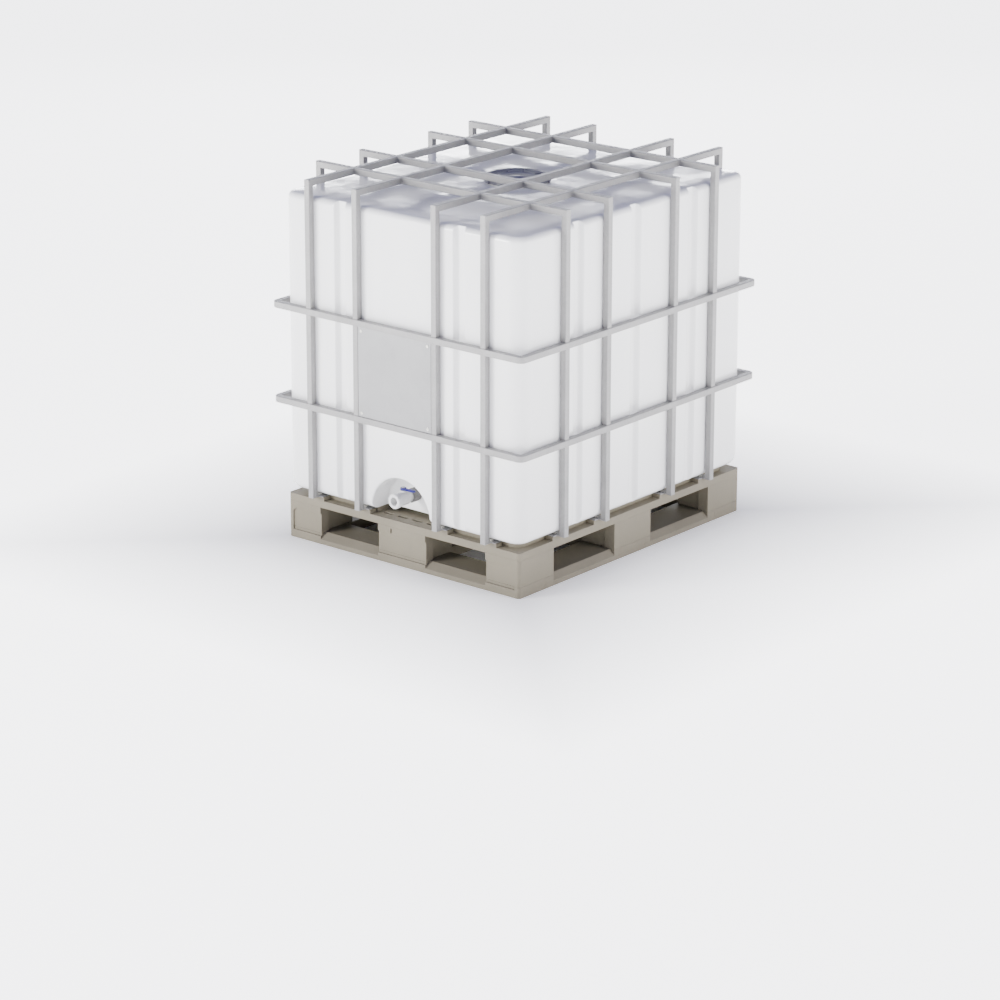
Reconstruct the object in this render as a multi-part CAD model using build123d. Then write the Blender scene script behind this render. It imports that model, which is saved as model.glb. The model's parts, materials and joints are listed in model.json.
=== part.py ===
from build123d import *
import os

# Intermediate bulk container: bottle, tube cage, moulded pallet, screw lid and outlet valve.
# Frame: +Z up, origin at the middle of the pallet's underside, valve face at -Y, +X to its right.
# All sizes are in millimetres.

# ---- cage -------------------------------------------------------------------------------------
CAGE_WIDTH = 1024.0
CAGE_LENGTH = 1200.0
CAGE_TOP = 1204.0
TUBE = 21.0
TUBE_WALL = 1.0
TUBE_EDGE = 2.5
POST_ACROSS = (-358.0, -161.0, 161.0, 358.0)
POST_ALONG = (-377.0, -170.0, 170.0, 377.0)
RING_LEVELS = {"upper": 778.0, "lower": 465.0}
RING_PROUD = 3.0
RING_BEND = 13.5

# ---- pallet -----------------------------------------------------------------------------------
PALLET_WIDTH = 962.0
PALLET_LENGTH = 1142.0
PALLET_TOP = 148.0
PALLET_CORNER = 12.0
POCKET_TOP = 124.0
SKID_TOP = 36.0
BLOCK_INNER_X = 344.0
BLOCK_MIDDLE_X = 99.0
BLOCK_INNER_Y = 401.0
BLOCK_MIDDLE_Y = 94.0
BLOCK_DEPTH = 140.0
SKID_WIDTH = 130.0
DECK_WALL = 4.0
BED_TOP = 166.0
BED_INSET = 40.0
PAD_HEIGHT = 12.0
PAD_LENGTH = 60.0
PAD_DEPTH = 30.0

# ---- bottle -----------------------------------------------------------------------------------
BOTTLE_WIDTH = 976.0
BOTTLE_LENGTH = 1152.0
BOTTLE_TOP = 1146.0
BOTTLE_WALL = 2.5
BOTTLE_CORNER = 55.0
BOTTLE_TOP_EDGE = 20.0
BOTTLE_BASE_EDGE = 34.0
FLUTE_WIDTH = 46.0
FLUTE_FLOOR = 30.0
FLUTE_DEPTH = 18.0
FLUTES_ACROSS = (-243.0, 243.0)
FLUTES_ALONG = (-293.0, -8.0, 285.0)
RECESS_RADIUS = 120.0
RECESS_DEPTH = 84.0
NECK_RADIUS = 98.0
NECK_BORE = 93.0
NECK_TOP = 1156.0

# ---- fill lid ---------------------------------------------------------------------------------
LID_TOP = 1165.0
LID_RADIUS = 104.0
LID_SKIRT_BASE = 1149.0
LUG_REACH = 110.0
LUG_COUNT = 8
LID_GASKET = 2.4

# ---- valve, on an axis along Y -----------------------------------------------------------------
VALVE_Z = 225.0
OUTLET_END = -606.0
BALL_Y = -560.0
BALL_RADIUS = 14.0
BALL_BORE = 8.5
NIPPLE_RADIUS = 23.9
NIPPLE_BORE = 13.5
BARREL_RADIUS = 21.5
PIPE_RADIUS = 15.8
LEVER_REACH = 49.0
LEVER_WIDTH = 16.0
HUB_RADIUS = 10.0

# ---- fits and cutting ---------------------------------------------------------------------------
RUNNING = 0.05
SLIP = 0.1
CLEAR = 0.3
CUT = 1.0
FAR = 2000.0


def between(low, high):
    """A box from its lowest to its highest corner."""
    size = [b - a for a, b in zip(low, high)]
    centre = [(a + b) / 2 for a, b in zip(low, high)]
    return Pos(*centre) * Box(*size)


def rounded_prism(width, length, corner, low, high):
    """A rounded rectangle about the Z axis, from one height to another."""
    return Pos(0, 0, low) * extrude(RectangleRounded(width, length, corner), high - low)


def rod(radius, y_low, y_high, x=0.0, z=VALVE_Z):
    """A round bar along Y."""
    return Pos(x, (y_low + y_high) / 2, z) * Rot(90, 0, 0) * Cylinder(radius, y_high - y_low)


def upright(radius, z_low, z_high, x=0.0, y=0.0):
    """A round bar along Z."""
    return Pos(x, y, (z_low + z_high) / 2) * Cylinder(radius, z_high - z_low)


def half_space(point, normal, size=200.0):
    """A block that fills the side of a plane that its normal points to."""
    return Plane(origin=point, z_dir=normal) * Pos(0, 0, size / 2) * Box(size, size, size)


def save(name, solids):
    """Write one node: a single solid or a group of separate solids."""
    solids = solids if isinstance(solids, list) else [solids]
    pieces = [piece for shape in solids for piece in shape.solids()]
    shape = pieces[0] if len(pieces) == 1 else Compound(children=pieces)
    shape.label = name
    export_step(shape, f"parts/{name}.step")


# ---- pallet -----------------------------------------------------------------------------------
HALF_W = PALLET_WIDTH / 2
HALF_L = PALLET_LENGTH / 2
PANEL_LOW = 27.0
PANEL_HIGH = 101.0
PANEL_DEPTH = 5.0
PANEL_BORDER = 19.0
PANEL_CORNER = 18.0
NOTCH_ACROSS = (-46.0, -40.0)
NOTCH_BELOW = 6.0
NOTCH_ABOVE = 16.0
BLOCK_SLAB = 40.0
BLOCK_STEP = 8.0
BLOCK_WALL = 6.0
SCREW_INSET = 15.0
SCREW_HOLE = 4.3


def side_places():
    """Each cage side's name, turn about Z, distance from the middle, and the posts' places along it."""
    return (("front", 0, CAGE_LENGTH / 2, POST_ACROSS), ("right", 90, CAGE_WIDTH / 2, POST_ALONG),
            ("rear", 180, CAGE_LENGTH / 2, POST_ACROSS), ("left", 270, CAGE_WIDTH / 2, POST_ALONG))


def pallet_half(side):
    """The pallet's half size towards a cage side."""
    return HALF_L if side in ("front", "rear") else HALF_W


def pad_places():
    """A location for each post, on the pallet's edge, with -Y outwards."""
    return [Rot(0, 0, turn) * Pos(place, -pallet_half(side), 0)
            for side, turn, reach, places in side_places() for place in places]


def foot_panel_tool():
    """The sunk panels on the front and rear faces of the pallet's feet."""
    outer = HALF_W - PANEL_BORDER
    height = PANEL_HIGH - PANEL_LOW
    width = outer - BLOCK_INNER_X
    flat = Rectangle(width, height)
    top_outer = flat.vertices().sort_by(Axis.X)[-2:].sort_by(Axis.Y)[-1]
    corner = fillet(top_outer, PANEL_CORNER)
    face = Rot(90, 0, 0) * extrude(corner, PANEL_DEPTH)
    right = Pos(BLOCK_INNER_X + width / 2, -HALF_L + PANEL_DEPTH, (PANEL_LOW + PANEL_HIGH) / 2) * face
    middle = between((-BLOCK_MIDDLE_X, -HALF_L, PANEL_LOW),
                     (BLOCK_MIDDLE_X, -HALF_L + PANEL_DEPTH, PANEL_HIGH))
    notch = between((NOTCH_ACROSS[0], -HALF_L, PANEL_HIGH - NOTCH_BELOW),
                    (NOTCH_ACROSS[1], -HALF_L + PANEL_DEPTH, PANEL_HIGH + NOTCH_ABOVE))
    front = right + mirror(right, about=Plane.YZ) + middle + notch
    return front + Rot(0, 0, 180) * front


def make_block(low, high, slabs):
    """A foot block: a core with full-width slabs on its outer faces, hollow and open at the top."""
    core = between((low[0], low[1], SKID_TOP), (high[0], high[1], POCKET_TOP))
    for slab_low, slab_high in slabs:
        core += between((*slab_low, SKID_TOP), (*slab_high, POCKET_TOP))
    hollow = between((low[0] + BLOCK_WALL, low[1] + BLOCK_WALL, SKID_TOP + BLOCK_WALL),
                     (high[0] - 2 * BLOCK_WALL, high[1] - 2 * BLOCK_WALL, POCKET_TOP + CUT))
    outline = rounded_prism(PALLET_WIDTH, PALLET_LENGTH, PALLET_CORNER, 0, POCKET_TOP)
    return ((core - hollow) & outline) - foot_panel_tool()


def corner_blocks():
    low = (BLOCK_INNER_X + BLOCK_STEP, BLOCK_INNER_Y + BLOCK_STEP)
    end_slab = ((BLOCK_INNER_X, HALF_L - BLOCK_SLAB), (HALF_W, HALF_L))
    side_slab = ((HALF_W - BLOCK_SLAB, BLOCK_INNER_Y), (HALF_W, HALF_L))
    block = make_block(low, (HALF_W, HALF_L), (end_slab, side_slab))
    pair = [block, mirror(block, about=Plane.YZ)]
    return pair + [mirror(shape, about=Plane.XZ) for shape in pair]


def edge_blocks():
    end_low = (-BLOCK_MIDDLE_X + BLOCK_STEP, HALF_L - BLOCK_DEPTH)
    end = make_block(end_low, (BLOCK_MIDDLE_X - BLOCK_STEP, HALF_L),
                     (((-BLOCK_MIDDLE_X, HALF_L - BLOCK_SLAB), (BLOCK_MIDDLE_X, HALF_L)),))
    side = make_block((BLOCK_INNER_X, -BLOCK_MIDDLE_Y + BLOCK_STEP), (HALF_W, BLOCK_MIDDLE_Y - BLOCK_STEP),
                      (((HALF_W - BLOCK_SLAB, -BLOCK_MIDDLE_Y), (HALF_W, BLOCK_MIDDLE_Y)),))
    return [end, Rot(0, 0, 180) * end, side, Rot(0, 0, 180) * side]


def centre_block():
    return make_block((-BLOCK_MIDDLE_X, -BLOCK_MIDDLE_Y), (BLOCK_MIDDLE_X, BLOCK_MIDDLE_Y), ())


SKID_WALL = 5.0
SKID_RIB_GAP = 120.0
BEVEL_RISE = 16.0
END_BEVEL = 24.0
SIDE_BEVEL = 18.0
SLOPE_BACKING = 7.0


def channel(low, high, along_x):
    """A skid: a channel that is open below, with cross ribs."""
    body = between((*low, 0), (*high, SKID_TOP))
    hollow = between((low[0] + SKID_WALL, low[1] + SKID_WALL, -CUT),
                     (high[0] - SKID_WALL, high[1] - SKID_WALL, SKID_TOP - SKID_WALL))
    for backing in skid_tools(SLOPE_BACKING, SKID_WALL) + panel_backings():
        hollow -= backing
    start, end = (low[0], high[0]) if along_x else (low[1], high[1])
    count = max(2, round((end - start) / SKID_RIB_GAP))
    for step in range(1, count):
        place = start + (end - start) * step / count
        if along_x:
            hollow -= between((place - SKID_WALL / 2, low[1], -CUT),
                              (place + SKID_WALL / 2, high[1], SKID_TOP))
        else:
            hollow -= between((low[0], place - SKID_WALL / 2, -CUT),
                              (high[0], place + SKID_WALL / 2, SKID_TOP))
    return body - hollow


def bevel_tool(start, end, face, depth, drop):
    """A wedge along X that slopes a skid's top outer edge at a -Y face; drop lowers its slope."""
    low_edge = BEVEL_RISE - drop
    profile = Polyline((face - CUT, low_edge), (face, low_edge), (face + depth, SKID_TOP - drop),
                       (face + depth, SKID_TOP + CUT), (face - CUT, SKID_TOP + CUT), close=True)
    return Pos(start, 0, 0) * extrude(Plane.YZ * make_face(profile), end - start)


def skid_tools(drop=0.0, past=0.0):
    """The slopes between the feet; lowered and lengthened ones mark the material left behind them."""
    end_bevel = bevel_tool(BLOCK_MIDDLE_X - past, BLOCK_INNER_X + past, -HALF_L, END_BEVEL, drop)
    end_pair = end_bevel + mirror(end_bevel, about=Plane.YZ)
    side_slope = bevel_tool(BLOCK_MIDDLE_Y - past, BLOCK_INNER_Y + past, -HALF_W, SIDE_BEVEL, drop)
    side_bevel = Rot(0, 0, 90) * side_slope
    side_pair = side_bevel + mirror(side_bevel, about=Plane.XZ)
    return [end_pair, Rot(0, 0, 180) * end_pair, side_pair, mirror(side_pair, about=Plane.YZ)]


def panel_backings():
    """The thicker end walls behind the sunk panels."""
    front = between((-HALF_W, -HALF_L, -CUT), (HALF_W, -HALF_L + PANEL_DEPTH + SKID_WALL, SKID_TOP))
    return [front, Rot(0, 0, 180) * front]


def finish_skid(shape):
    for tool in skid_tools():
        shape -= tool
    shape -= foot_panel_tool()
    return shape & rounded_prism(PALLET_WIDTH, PALLET_LENGTH, PALLET_CORNER, 0, SKID_TOP)


CENTRE_PAD = 50.0


def cross_skids():
    front = channel((-HALF_W, -HALF_L), (HALF_W, -HALF_L + SKID_WIDTH), True)
    middle = channel((-HALF_W, -SKID_WIDTH / 2), (HALF_W, SKID_WIDTH / 2), True)
    middle += between((-CENTRE_PAD, -CENTRE_PAD, 0), (CENTRE_PAD, CENTRE_PAD, SKID_TOP))
    return [finish_skid(shape) for shape in (front, middle, Rot(0, 0, 180) * front)]


def long_skids():
    spans = ((-HALF_L + SKID_WIDTH, -SKID_WIDTH / 2), (SKID_WIDTH / 2, HALF_L - SKID_WIDTH))
    rows = ((-HALF_W, -BLOCK_INNER_X), (-SKID_WIDTH / 2, SKID_WIDTH / 2), (BLOCK_INNER_X, HALF_W))
    return [finish_skid(channel((x_low, y_low), (x_high, y_high), False))
            for x_low, x_high in rows for y_low, y_high in spans]


RIB = 3.0
RIB_ROWS = 11
RIB_COLUMNS = 9
VALVE_BAY = 125.0
VALVE_BAY_BACK = -390.0
SLOT_PLACES = (-90.0, -30.0, 30.0, 90.0)
SLOT_Y = -527.0
SLOT_LENGTH = 42.0
SLOT_WIDTH = 14.0
SLOT_CUT = 10.0
RIB_SINK = 1.0
SCREW_BOSS_RADIUS = 9.0
SCREW_BOSS_LIFT = 6.0
SCREW_HOLE_LIFT = 8.0


def pallet_deck():
    outline = (PALLET_WIDTH, PALLET_LENGTH, PALLET_CORNER)
    inner = (PALLET_WIDTH - 2 * DECK_WALL, PALLET_LENGTH - 2 * DECK_WALL, PALLET_CORNER - DECK_WALL)
    bed_w = BOTTLE_WIDTH - 2 * BED_INSET
    bed_l = BOTTLE_LENGTH - 2 * BED_INSET
    deck = rounded_prism(*outline, POCKET_TOP, PALLET_TOP)
    deck -= rounded_prism(*inner, POCKET_TOP - CUT, PALLET_TOP - DECK_WALL)
    bay = between((-VALVE_BAY, -HALF_L, PALLET_TOP), (VALVE_BAY, VALVE_BAY_BACK, BED_TOP))
    bay_room = between((-VALVE_BAY - DECK_WALL, -HALF_L, POCKET_TOP),
                       (VALVE_BAY + DECK_WALL, VALVE_BAY_BACK + DECK_WALL, BED_TOP))
    bed = rounded_prism(bed_w, bed_l, BED_INSET, PALLET_TOP, BED_TOP) - bay
    bed_room = rounded_prism(bed_w - 2 * DECK_WALL, bed_l - 2 * DECK_WALL, BED_INSET - DECK_WALL,
                             POCKET_TOP - CUT, BED_TOP - DECK_WALL) - bay_room
    deck = deck + bed - bed_room
    for step in range(1, RIB_ROWS):
        y = -HALF_L + PALLET_LENGTH * step / RIB_ROWS
        top = (PALLET_TOP if y < VALVE_BAY_BACK else BED_TOP) - RIB_SINK
        rib = between((-bed_w / 2 + RIB_SINK, y - RIB / 2, POCKET_TOP),
                      (bed_w / 2 - RIB_SINK, y + RIB / 2, top))
        deck += rib & rounded_prism(bed_w - 2 * RIB_SINK, bed_l - 2 * RIB_SINK, BED_INSET,
                                    POCKET_TOP, BED_TOP)
    for step in range(1, RIB_COLUMNS):
        x = -HALF_W + PALLET_WIDTH * step / RIB_COLUMNS
        front = VALVE_BAY_BACK if abs(x) < VALVE_BAY + RIB else -bed_l / 2 + RIB_SINK
        deck += between((x - RIB / 2, front, POCKET_TOP),
                        (x + RIB / 2, bed_l / 2 - RIB_SINK, BED_TOP - RIB_SINK))
    for place in pad_places():
        pad = between((-PAD_LENGTH / 2, 0, PALLET_TOP),
                      (PAD_LENGTH / 2, PAD_DEPTH, PALLET_TOP + PAD_HEIGHT))
        boss = upright(SCREW_BOSS_RADIUS, POCKET_TOP + SCREW_BOSS_LIFT, PALLET_TOP, 0, SCREW_INSET)
        hole = upright(SCREW_HOLE, POCKET_TOP + SCREW_HOLE_LIFT, PALLET_TOP + PAD_HEIGHT + CUT,
                       0, SCREW_INSET)
        deck = deck + place * pad + place * boss - place * hole
    for x in SLOT_PLACES:
        slot = extrude(SlotOverall(SLOT_LENGTH, SLOT_WIDTH), 2 * SLOT_CUT)
        deck -= Pos(x, SLOT_Y, PALLET_TOP - SLOT_CUT) * slot
    return deck


# ---- cage -------------------------------------------------------------------------------------
FOOT_PLATE = 3.0
FOOT_PLATE_WIDTH = 50.0
FOOT_PLATE_SETBACK = 1.0
HEX_RADIUS = 6.5
SHANK_LIFT = 12.0
POST_BASE = PALLET_TOP + PAD_HEIGHT + FOOT_PLATE
BAR_Z = CAGE_TOP - TUBE / 2


def tube_section():
    return RectangleRounded(TUBE, TUBE, TUBE_EDGE) - \
        RectangleRounded(TUBE - 2 * TUBE_WALL, TUBE - 2 * TUBE_WALL, TUBE_EDGE - TUBE_WALL)


def post(place, reach):
    """An upright of the -Y side, mitred at the top and lapped where the rings cross it."""
    axis_y = -reach + TUBE / 2
    shape = Pos(place, axis_y, POST_BASE) * extrude(tube_section(), CAGE_TOP - POST_BASE)
    shape -= half_space((place, -reach, CAGE_TOP), (0, 1, 1))
    for level in RING_LEVELS.values():
        shape -= between((place - TUBE, -reach - CUT, level - TUBE / 2),
                         (place + TUBE, axis_y, level + TUBE / 2))
    return shape


def top_bar(place, reach, crossings, cut_low, cut_high):
    """A top bar along Y, mitred to its two posts and half-lapped with the bars that cross it."""
    shape = Pos(place, -reach, BAR_Z) * Rot(-90, 0, 0) * extrude(tube_section(), 2 * reach)
    shape -= half_space((place, -reach, CAGE_TOP), (0, -1, -1))
    shape -= half_space((place, reach, CAGE_TOP), (0, 1, -1))
    for cross in crossings:
        shape -= between((place - TUBE, cross - TUBE / 2, cut_low),
                         (place + TUBE, cross + TUBE / 2, cut_high))
    return shape


def ring_end(level):
    """The -Y side of a ring, with its two corner bends, lapped over the posts."""
    reach_x = CAGE_WIDTH / 2 + RING_PROUD - TUBE / 2
    reach_y = CAGE_LENGTH / 2 + RING_PROUD - TUBE / 2
    route = Polyline((-reach_x, -reach_y + 2 * RING_BEND), (-reach_x, -reach_y),
                     (reach_x, -reach_y), (reach_x, -reach_y + 2 * RING_BEND))
    path = Pos(0, 0, level) * fillet(route.vertices().filter_by(lambda v: v.Y < -reach_y + CUT), RING_BEND)
    start = Plane(origin=path @ 0, z_dir=path % 0, x_dir=(0, 0, 1))
    shape = sweep(start * tube_section(), path=path)
    return lap_ring(shape, CAGE_LENGTH / 2, POST_ACROSS, level)


def ring_side(level):
    """The straight side of a ring, before it is turned to the +X or -X face."""
    half = CAGE_LENGTH / 2 + RING_PROUD - TUBE / 2 - 2 * RING_BEND
    reach = CAGE_WIDTH / 2 + RING_PROUD - TUBE / 2
    shape = Pos(-half, -reach, level) * Rot(0, 90, 0) * extrude(tube_section(), 2 * half)
    return lap_ring(shape, CAGE_WIDTH / 2, POST_ALONG, level)


def lap_ring(shape, reach, places, level):
    """Cut the inner half of a -Y ring side where each post runs through it."""
    for place in places:
        shape -= between((place - TUBE / 2, -reach + TUBE / 2, level - TUBE),
                         (place + TUBE / 2, -reach + 2 * TUBE, level + TUBE))
    return shape


def foot_plates():
    reach_past = (CAGE_LENGTH - PALLET_LENGTH) / 2
    plate = between((-FOOT_PLATE_WIDTH / 2, 0, PALLET_TOP + PAD_HEIGHT),
                    (FOOT_PLATE_WIDTH / 2, PAD_DEPTH - FOOT_PLATE_SETBACK, POST_BASE))
    tongue_end = between((-TUBE / 2, -reach_past, PALLET_TOP + PAD_HEIGHT), (TUBE / 2, 0, POST_BASE))
    side_past = (CAGE_WIDTH - PALLET_WIDTH) / 2
    tongue_side = between((-TUBE / 2, -side_past, PALLET_TOP + PAD_HEIGHT), (TUBE / 2, 0, POST_BASE))
    hole = upright(SCREW_HOLE, PALLET_TOP, POST_BASE + CUT, 0, SCREW_INSET)
    plates = []
    for side, turn, reach, places in side_places():
        tongue = tongue_end if side in ("front", "rear") else tongue_side
        for place in places:
            plates.append(Rot(0, 0, turn) * Pos(place, -pallet_half(side), 0) * (plate + tongue - hole))
    return plates


def foot_screws():
    shank = upright(SCREW_HOLE - CLEAR, POCKET_TOP + SHANK_LIFT, POST_BASE, 0, SCREW_INSET)
    head = Pos(0, SCREW_INSET, POST_BASE) * extrude(RegularPolygon(HEX_RADIUS, 6), BED_TOP - POST_BASE)
    return [place * (shank + head) for place in pad_places()]


def make_cage():
    nodes = {}
    for side, turn, reach, places in side_places():
        for number, place in enumerate(places, 1):
            nodes[f"post_{side}_{number}"] = Rot(0, 0, turn) * post(place, reach)
    for number, place in enumerate(POST_ACROSS, 1):
        bar = top_bar(place, CAGE_LENGTH / 2, POST_ALONG, CAGE_TOP - 2 * TUBE, BAR_Z)
        nodes[f"top_bar_long_{number}"] = bar
    for number, place in enumerate(POST_ALONG, 1):
        bar = top_bar(-place, CAGE_WIDTH / 2, POST_ACROSS, BAR_Z, CAGE_TOP + CUT)
        nodes[f"top_bar_cross_{number}"] = Rot(0, 0, 90) * bar
    for name, level in RING_LEVELS.items():
        nodes[f"ring_{name}_front"] = ring_end(level)
        nodes[f"ring_{name}_rear"] = Rot(0, 0, 180) * ring_end(level)
        nodes[f"ring_{name}_right"] = Rot(0, 0, 90) * ring_side(level)
        nodes[f"ring_{name}_left"] = Rot(0, 0, 270) * ring_side(level)
    nodes["foot_plates"] = foot_plates()
    nodes["foot_screws"] = foot_screws()
    return nodes


# ---- label plate ------------------------------------------------------------------------------
PLATE_HALF = 149.5
PLATE_LOW = 476.0
PLATE_HIGH = 767.0
PLATE_THICK = 1.2
PLATE_SETBACK = 1.0
PLATE_FACE = -CAGE_LENGTH / 2 + PLATE_SETBACK
STRAP = 3.0
STRAP_HEIGHT = 20.0
RIVET_X = 136.5
RIVET_INSET = 12.0
RIVET_HOLE = 2.7
RIVET_HEAD = (5.0, 1.6)
RIVET_TAIL = (4.0, 1.5)


def make_label():
    levels = (PLATE_LOW + RIVET_INSET, PLATE_HIGH - RIVET_INSET)
    back = PLATE_FACE + PLATE_THICK
    plate = between((-PLATE_HALF, PLATE_FACE, PLATE_LOW), (PLATE_HALF, back, PLATE_HIGH))
    inner_edge = POST_ACROSS[2] - TUBE / 2
    straps = []
    rivets = []
    for z in levels:
        strap = between((-inner_edge, back, z - STRAP_HEIGHT / 2),
                        (inner_edge, back + STRAP, z + STRAP_HEIGHT / 2))
        for x in (-RIVET_X, RIVET_X):
            hole = rod(RIVET_HOLE, PLATE_FACE - CUT, back + STRAP + CUT, x, z)
            plate -= hole
            strap -= hole
            head = rod(RIVET_HEAD[0], PLATE_FACE - RIVET_HEAD[1], PLATE_FACE, x, z)
            shank = rod(RIVET_HOLE - CLEAR, PLATE_FACE, back + STRAP, x, z)
            tail = rod(RIVET_TAIL[0], back + STRAP, back + STRAP + RIVET_TAIL[1], x, z)
            rivets.append(head + shank + tail)
        straps.append(strap)
    return {"label_plate": plate, "label_straps": straps, "label_rivets": rivets}


# ---- bottle -----------------------------------------------------------------------------------
SPOUT_RADIUS = 18.0
SPOUT_BORE = 13.5
SPOUT_LENGTH = 26.0
RECESS_BACK = -BOTTLE_LENGTH / 2 + RECESS_DEPTH
RECESS_CENTRE = BED_TOP + 6.0
SPOUT_END = RECESS_BACK - SPOUT_LENGTH


def flute(face, wall):
    """A vertical groove in the -Y face, grown by the wall where it shapes the inside."""
    mouth = FLUTE_WIDTH / 2 + wall
    floor = FLUTE_FLOOR / 2 + wall
    line = Polyline((-mouth, -face - wall), (-floor, -face + FLUTE_DEPTH), (floor, -face + FLUTE_DEPTH),
                    (mouth, -face - wall), close=True)
    return extrude(make_face(line), FAR)


def bottle_form(inset):
    """The bottle's outer form, or the form of the room inside it when inset by the wall."""
    width = BOTTLE_WIDTH - 2 * inset
    length = BOTTLE_LENGTH - 2 * inset
    form = rounded_prism(width, length, BOTTLE_CORNER - inset, BED_TOP + inset, BOTTLE_TOP - inset)
    form = fillet(form.faces().sort_by(Axis.Z)[-1].edges(), BOTTLE_TOP_EDGE - inset)
    form = fillet(form.faces().sort_by(Axis.Z)[0].edges(), BOTTLE_BASE_EDGE - inset)
    for turn in (0, 180):
        for place in FLUTES_ACROSS:
            form -= Rot(0, 0, turn) * Pos(place, 0, 0) * flute(length / 2, inset)
    for place in FLUTES_ALONG:
        form -= Rot(0, 0, 90) * Pos(place, 0, 0) * flute(width / 2, inset)
        form -= Rot(0, 0, 270) * Pos(-place, 0, 0) * flute(width / 2, inset)
    radius = RECESS_RADIUS + inset
    arch = rod(radius, -FAR, RECESS_BACK + inset, 0, RECESS_CENTRE)
    legs = between((-radius, -FAR, 0), (radius, RECESS_BACK + inset, RECESS_CENTRE))
    return form - arch - legs


def make_bottle():
    shell = bottle_form(0.0) - bottle_form(BOTTLE_WALL)
    neck = upright(NECK_RADIUS, BOTTLE_TOP - BOTTLE_WALL, NECK_TOP)
    spout = rod(SPOUT_RADIUS, SPOUT_END, RECESS_BACK + BOTTLE_WALL)
    shell = shell + neck + spout
    shell -= upright(NECK_BORE, BOTTLE_TOP - 2 * BOTTLE_WALL, NECK_TOP + CUT)
    return shell - rod(SPOUT_BORE, SPOUT_END - CUT, RECESS_BACK + 2 * BOTTLE_WALL)


# ---- fill lid ---------------------------------------------------------------------------------
LID_EDGE = 3.0
LID_RIM = 16.0
DISH_DEPTH = 3.0
LUG_ROOT = 8.0
LUG_HALF = 9.0
LUG_DROP = 4.0
GASKET_SETBACK = 0.5


def make_lid():
    skirt = upright(LID_RADIUS, LID_SKIRT_BASE, LID_TOP)
    skirt = fillet(skirt.faces().sort_by(Axis.Z)[-1].edges(), LID_EDGE)
    for number in range(LUG_COUNT):
        turn = 360.0 * (number + 0.5) / LUG_COUNT
        lug = between((LID_RADIUS - LUG_ROOT, -LUG_HALF, LID_SKIRT_BASE),
                      (LUG_REACH, LUG_HALF, LID_TOP - LUG_DROP))
        skirt += Rot(0, 0, turn) * lug
    room = upright(NECK_RADIUS + CLEAR, LID_SKIRT_BASE - CUT, NECK_TOP + LID_GASKET + SLIP)
    dish = upright(LID_RADIUS - LID_RIM, LID_TOP - DISH_DEPTH, LID_TOP + CUT)
    gasket = upright(NECK_RADIUS - CLEAR, NECK_TOP, NECK_TOP + LID_GASKET)
    gasket -= upright(NECK_BORE + GASKET_SETBACK, NECK_TOP - CUT, NECK_TOP + LID_GASKET + CUT)
    return {"fill_lid": skirt - room - dish, "lid_gasket": gasket}


# ---- valve ------------------------------------------------------------------------------------
GASKET = 1.0
FLANGE = 4.5
FLANGE_FACE = SPOUT_END - GASKET
FLANGE_BACK = FLANGE_FACE - FLANGE
FLANGE_RADIUS = 17.9
NUT_RADIUS = 21.5
NUT_RIBS = 10
NUT_RIB_ROOT = 1.0
NUT_RIB_SIZE = (4.0, 6.0)
NUT_GAP = 2.5
NUT_END_WALL = 5.5
NUT_BACK = RECESS_BACK - NUT_GAP
NUT_FRONT = FLANGE_BACK - NUT_END_WALL
CONE_START = -545.0
CONE_END = -534.0
NIPPLE_BACK = -590.0
CAVITY = BALL_RADIUS + CLEAR
CAVITY_END = -580.0
SEAT_RADIUS = CAVITY - 0.5
SEAT_SETBACK = 0.5
SEAT_GAP = 0.1
SEAT_OVERLAP = 7.0
SEAT_LENGTH = CAVITY_END - BALL_Y
INSERT_BORE = 10.5
STEM_BOSS_RADIUS = 10.0
STEM_BOSS_TOP = 252.0
STEM_RADIUS = 5.0
TONGUE = 4.0
TONGUE_HALF = 4.0
TONGUE_DEEP = 4.0
TONGUE_GAP = 0.2
SQUARE = 7.0
LEVER_LOW = 253.0
LEVER_HIGH = 261.0
SEAL_RADIUS = 7.5
SEAL_DEPTH = 4.0
SEAL_SINK = 1.0
SCREW_SHANK = 2.0
SCREW_HEAD = 5.0
SCREW_SINK = 3.0
SCREW_REACH = 3.0
SCREW_RECESS = 0.5
ARM_STEP = 1.0


def valve_body():
    body = rod(BARREL_RADIUS, NIPPLE_BACK, CONE_START) + rod(NIPPLE_RADIUS, OUTLET_END, NIPPLE_BACK)
    cone = Cone(BARREL_RADIUS, PIPE_RADIUS, CONE_END - CONE_START)
    body += Pos(0, (CONE_START + CONE_END) / 2, VALVE_Z) * Rot(-90, 0, 0) * cone
    body += rod(PIPE_RADIUS, CONE_END, FLANGE_FACE) + rod(FLANGE_RADIUS, FLANGE_BACK, FLANGE_FACE)
    body += upright(STEM_BOSS_RADIUS, VALVE_Z, STEM_BOSS_TOP, 0, BALL_Y)
    body -= rod(CAVITY, CAVITY_END, FLANGE_FACE + CUT)
    body -= rod(NIPPLE_BORE, OUTLET_END - CUT, CAVITY_END)
    body -= upright(STEM_RADIUS + RUNNING, VALVE_Z, STEM_BOSS_TOP + CUT, 0, BALL_Y)
    return body - upright(SEAL_RADIUS + CLEAR, STEM_BOSS_TOP - SEAL_DEPTH, STEM_BOSS_TOP + CUT, 0, BALL_Y)


def seat(low, high):
    ring = rod(SEAT_RADIUS, low, high) - rod(BALL_BORE + SEAT_SETBACK, low - CUT, high + CUT)
    return ring - Pos(0, BALL_Y, VALVE_Z) * Sphere(BALL_RADIUS + SEAT_GAP)


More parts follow.
